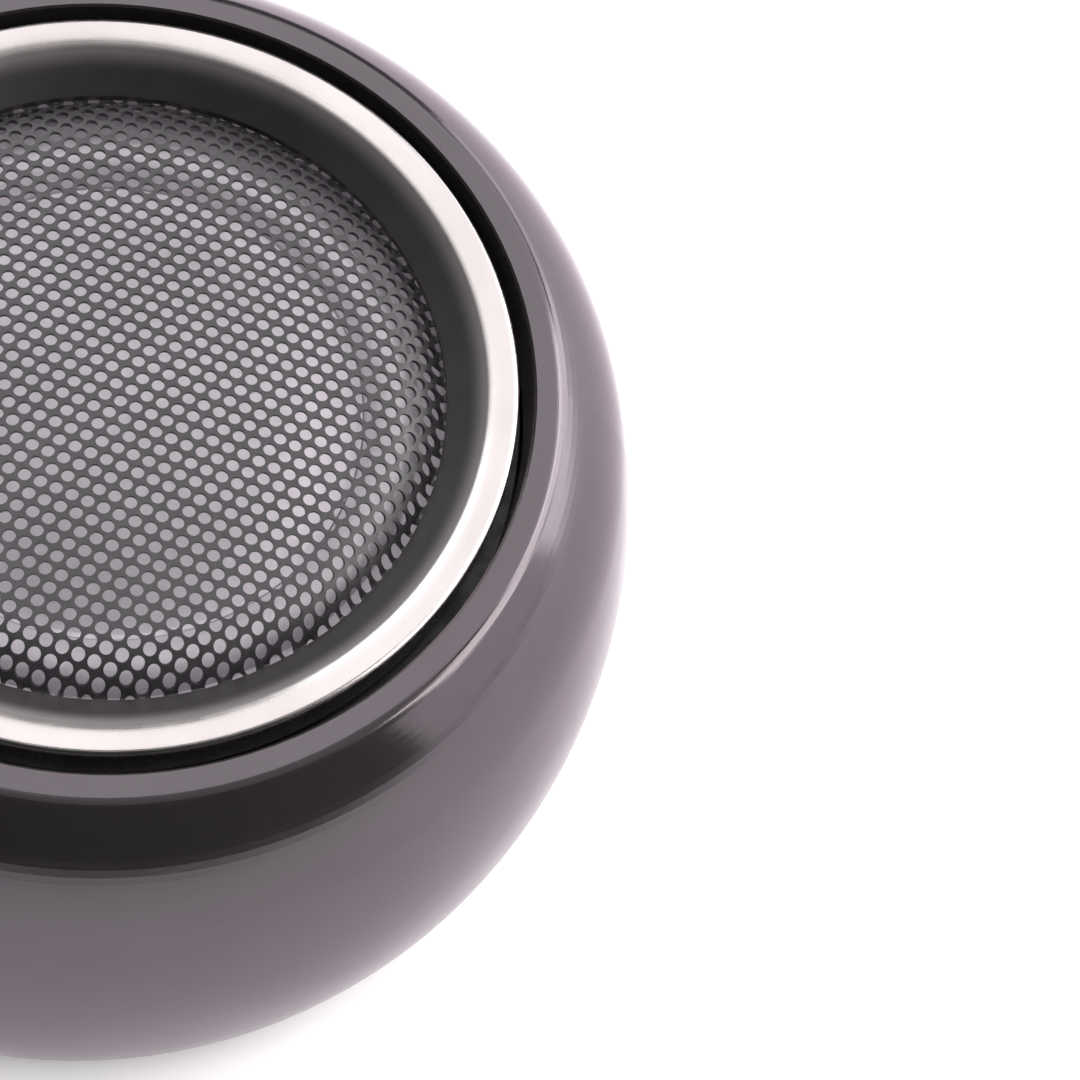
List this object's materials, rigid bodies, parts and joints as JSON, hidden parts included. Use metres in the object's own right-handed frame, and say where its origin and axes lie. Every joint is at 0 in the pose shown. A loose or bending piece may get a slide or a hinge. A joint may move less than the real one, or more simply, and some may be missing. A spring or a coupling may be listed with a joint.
{
  "type": "car tweeter",
  "caption": "Surface-mount dome tweeter in a rounded dark pod, with a satin metal trim ring round a recessed perforated grille.",
  "frame": {"origin": "centre of the resting face of the foam pad", "axes": "+Z is the pod's axis, out of the grille; +Y points to the side of the cable inlet"},
  "size_m": [0.06, 0.06, 0.0305],
  "materials": {
    "pod_coat": "satin soft-touch coat over moulded plastic, dark charcoal",
    "black_plastic": "moulded black plastic",
    "ring_metal": "satin polished trim ring",
    "grille_paint": "dark graphite paint on perforated sheet",
    "diaphragm_film": "silver coated film",
    "former_film": "amber polyimide film",
    "copper": "enamelled copper winding",
    "felt": "grey felt",
    "motor_steel": "zinc plated steel",
    "magnet_plating": "nickel plated magnet",
    "foam": "closed-cell foam",
    "grommet_rubber": "black rubber",
    "wire_sleeve": "red wire sleeve",
    "tinned_wire": "tinned copper",
    "phenolic": "brown phenolic board",
    "terminal_brass": "plated brass",
    "capacitor_sleeve": "blue printed-free sleeve",
    "spring_steel": "spring steel",
    "black_screw": "black oxide steel"
  },
  "bodies": {
    "tweeter": {"pod_housing": "pod_coat", "capsule_gasket": "foam", "capsule_cup": "black_plastic", "trim_ring": "ring_metal", "grille": "grille_paint", "grille_spacer": "black_plastic", "surround": "diaphragm_film", "driver_frame": "black_plastic", "damping_pad": "felt", "pole_plate": "motor_steel", "magnet": "magnet_plating", "yoke_cup": "motor_steel", "motor_pad": "foam", "lead_wires": "tinned_wire", "terminal_board": "phenolic", "positive_terminal": "terminal_brass", "negative_terminal": "terminal_brass", "terminal_rivets": "terminal_brass", "capacitor": "capacitor_sleeve", "capacitor_leads": "tinned_wire", "capacitor_clip": "spring_steel", "jumper_wire": "wire_sleeve", "mounting_base": "black_plastic", "base_screws": "black_screw", "cable_grommet": "grommet_rubber", "foam_pad": "foam"},
    "voice_coil_assembly": {"dome_diaphragm": "diaphragm_film", "voice_coil_former": "former_film", "voice_coil": "copper"}
  },
  "joints": [
    {"name": "voice_coil_travel", "type": "slide", "parent": "tweeter", "child": "voice_coil_assembly", "axis": [0, 0, 1], "range_m": [-0.0004, 0.0004], "stiffness_N_per_m": 4000, "deforming": ["surround"]}
  ]
}
